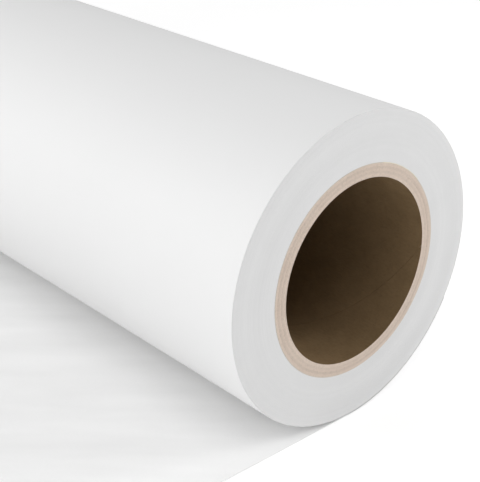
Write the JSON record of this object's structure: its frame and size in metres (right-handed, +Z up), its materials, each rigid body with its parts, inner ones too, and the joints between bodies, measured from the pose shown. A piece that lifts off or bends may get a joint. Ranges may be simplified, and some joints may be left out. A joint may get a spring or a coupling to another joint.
{
  "type": "roll of sign vinyl",
  "caption": "Wide roll of self-adhesive white sign vinyl on a spiral-wound paperboard core, lying with its free end rolled out flat in front; the roll rolls along to wind up the free end.",
  "frame": {"origin": "centre of the core's bore, halfway along the roll", "axes": "+X along the bore towards the roll's right-hand end, +Y away from the free end, +Z up"},
  "size_m": [0.61, 0.4144, 0.1293],
  "materials": {
    "vinyl_web": "satin",
    "vinyl_film": "satin",
    "adhesive": "satin",
    "release_liner": "satin",
    "kraft_liner_ply": "matte",
    "core_board": "matte",
    "smooth_cover_ply": "matte",
    "start_tape": "satin"
  },
  "bodies": {
    "tail": {"tail_film": "vinyl_film", "tail_adhesive": "adhesive", "tail_liner": "release_liner"},
    "nip": {"nip_web": "vinyl_web"},
    "roll": {"core_inner_ply": "kraft_liner_ply", "core_board_ply_1": "core_board", "core_board_ply_2": "core_board", "core_board_ply_3": "core_board", "core_board_ply_4": "core_board", "core_board_ply_5": "core_board", "core_outer_ply": "smooth_cover_ply", "start_tape": "start_tape", "wound_web": "vinyl_web"}
  },
  "joints": [
    {"name": "roll_travel", "type": "slide", "parent": "tail", "child": "nip", "axis": [0, -1, 0], "range_m": [0, 0.24]},
    {"name": "roll_spin", "type": "hinge", "parent": "nip", "child": "roll", "pos_m": [0, 0, 0], "axis": [1, 0, 0], "range_deg": [0, 213.1]}
  ],
  "couplings": [
    {"joint": "roll_spin", "follows": "roll_travel", "rad_per_m": 15.491}
  ]
}
